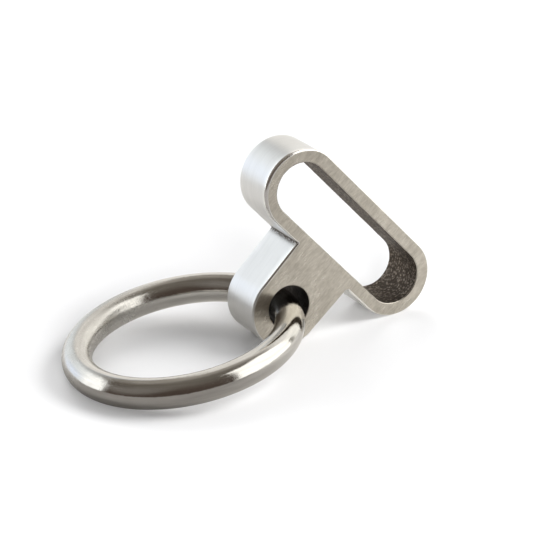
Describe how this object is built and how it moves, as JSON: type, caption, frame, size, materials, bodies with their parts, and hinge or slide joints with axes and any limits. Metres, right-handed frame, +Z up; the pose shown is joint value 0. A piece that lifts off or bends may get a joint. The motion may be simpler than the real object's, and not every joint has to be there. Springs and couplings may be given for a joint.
{
  "type": "strap loop with ring",
  "caption": "Slotted oblong strap loop with a lug, and a round closed ring threaded through the lug's eye, in stainless steel.",
  "frame": {"origin": "on the table, under the middle of the whole as it lies: the strap loop leaning on its lug's end and its own lower end, and the far side of the ring down", "axes": "+X along the table from the ring to the strap loop, +Y along the axis of the eye and of the slot, +Z up"},
  "size_m": [0.064, 0.04, 0.0331],
  "materials": {
    "brushed_stainless": "belt brushed faces, satin sides, cast grain inside the slot",
    "polished_stainless": "hand polished, slightly wavy"
  },
  "bodies": {
    "strap_loop": {"strap_loop": "brushed_stainless"},
    "ring": {"ring": "polished_stainless"}
  },
  "joints": [
    {"name": "ring_swing", "type": "hinge", "parent": "strap_loop", "child": "ring", "pos_m": [0.00529, 0, 0.00636], "axis": [0, 1, 0], "continuous": true}
  ]
}
